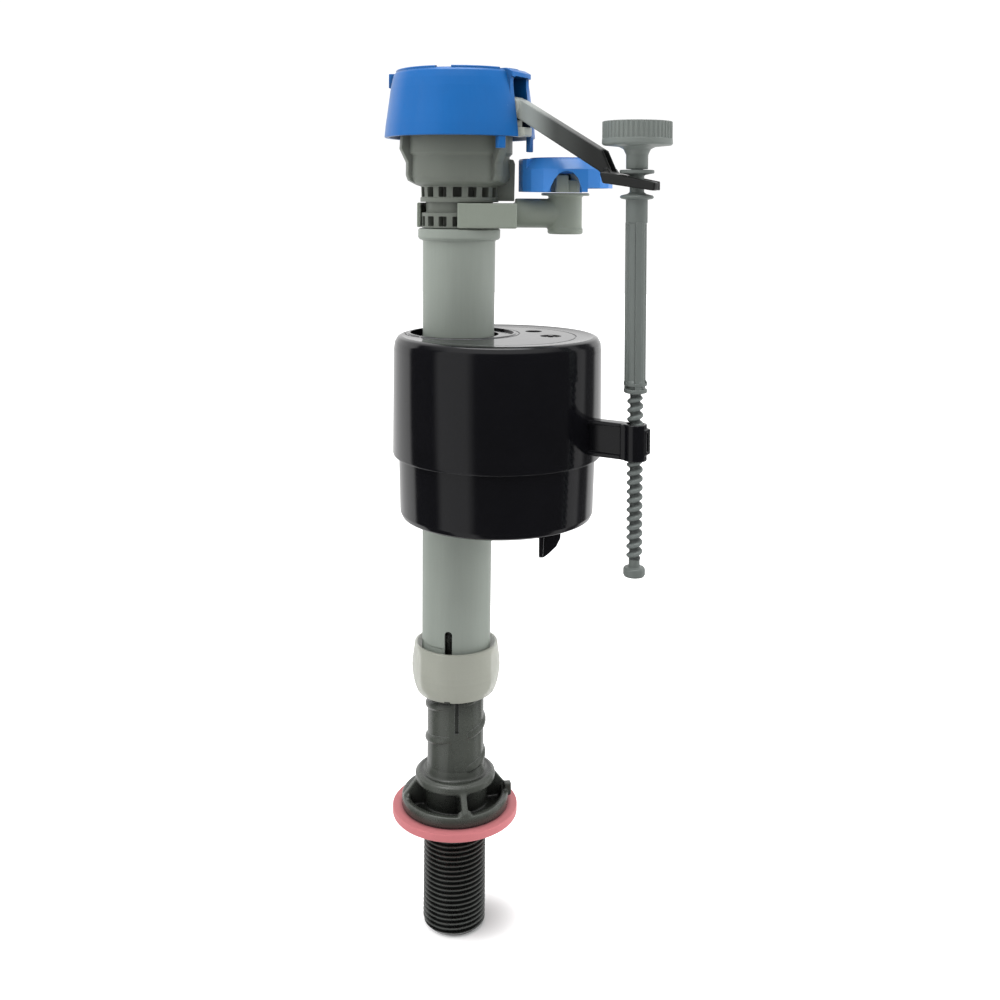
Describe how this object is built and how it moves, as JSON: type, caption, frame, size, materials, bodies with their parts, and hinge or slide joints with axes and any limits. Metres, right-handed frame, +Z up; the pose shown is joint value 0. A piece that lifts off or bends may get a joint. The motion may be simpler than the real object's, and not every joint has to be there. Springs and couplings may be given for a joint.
{
  "type": "toilet fill valve",
  "caption": "Float-operated toilet fill valve: threaded shank, telescoping tube, black cup float, adjusting rod, blue cap with lever and refill dial.",
  "frame": {"origin": "on the shank's axis at the tank-seat plane, the underside of the shank washer", "axes": "+Z up along the shank and tube, +X towards the lever, the adjusting rod and the float's centre"},
  "size_m": [0.1161, 0.0802, 0.3284],
  "materials": {
    "shank_plastic": "satin moulded, dark grey",
    "washer_rubber": "matte red rubber",
    "seal_rubber": "matte black rubber",
    "tube_plastic": "satin moulded, grey",
    "ring_plastic": "translucent natural plastic",
    "blue_plastic": "satin moulded, blue",
    "lever_plastic": "satin moulded, dark grey",
    "rod_plastic": "satin moulded, grey",
    "float_plastic": "gloss black",
    "pin_steel": "plain stainless"
  },
  "bodies": {
    "base": {"shank": "shank_plastic", "shank_washer": "washer_rubber", "flow_restrictor": "tube_plastic", "riser_seal": "seal_rubber"},
    "lock_ring_body": {"lock_ring": "ring_plastic"},
    "riser": {"outer_tube": "tube_plastic", "supply_tube": "tube_plastic", "valve_body": "tube_plastic", "refill_elbow": "tube_plastic", "refill_nozzle": "tube_plastic", "diaphragm": "seal_rubber"},
    "dial": {"refill_dial": "blue_plastic"},
    "seal_core": {"diaphragm_core": "tube_plastic"},
    "cap_assembly": {"cap": "blue_plastic", "pilot_plate": "tube_plastic", "metering_pin": "pin_steel", "lever_pin": "pin_steel"},
    "lever_arm": {"lever": "lever_plastic", "pilot_seal": "seal_rubber"},
    "rod": {"adjusting_rod": "rod_plastic"},
    "knob": {"adjusting_knob": "rod_plastic"},
    "float": {"float_upper_cup": "float_plastic", "float_lower_cup": "float_plastic"}
  },
  "joints": [
    {"name": "height_adjust", "type": "slide", "parent": "base", "child": "lock_ring_body", "axis": [0, 0, 1], "range_m": [-0.0256, 0.0512]},
    {"name": "height_twist", "type": "hinge", "parent": "lock_ring_body", "child": "riser", "pos_m": [0, 0, 0.06], "axis": [0, 0, 1], "range_deg": [-721, 1441]},
    {"name": "dial_turn", "type": "hinge", "parent": "riser", "child": "dial", "pos_m": [0.03455, 0.02244, 0.2457], "axis": [0, 0, 1], "range_deg": [-60, 60]},
    {"name": "seal_travel", "type": "slide", "parent": "riser", "child": "seal_core", "axis": [0, 0, 1], "range_m": [-0.0013, 0]},
    {"name": "cap_turn", "type": "hinge", "parent": "riser", "child": "cap_assembly", "pos_m": [0, 0, 0.266], "axis": [0, 0, 1], "range_deg": [-45, 0]},
    {"name": "lever_swing", "type": "hinge", "parent": "cap_assembly", "child": "lever_arm", "pos_m": [0.025, 0, 0.271], "axis": [0, -1, 0], "range_deg": [0, 9.2]},
    {"name": "rod_hang", "type": "hinge", "parent": "lever_arm", "child": "rod", "pos_m": [0.0743, 0, 0.24205], "axis": [0, -1, 0], "range_deg": [-9.21, 0]},
    {"name": "knob_turn", "type": "hinge", "parent": "rod", "child": "knob", "pos_m": [0.0743, 0, 0.2595], "axis": [0, 0, 1], "range_deg": [-3600, 900]},
    {"name": "float_height", "type": "slide", "parent": "rod", "child": "float", "axis": [0, 0, 1], "range_m": [-0.03201, 0.00801]}
  ],
  "couplings": [
    {"joint": "height_twist", "follows": "height_adjust", "rad_per_m": 490.87},
    {"joint": "rod_hang", "follows": "lever_swing", "ratio": -1},
    {"joint": "seal_travel", "follows": "lever_swing", "m_per_rad": -0.007473},
    {"joint": "float_height", "follows": "knob_turn", "m_per_rad": 0.0005093}
  ]
}
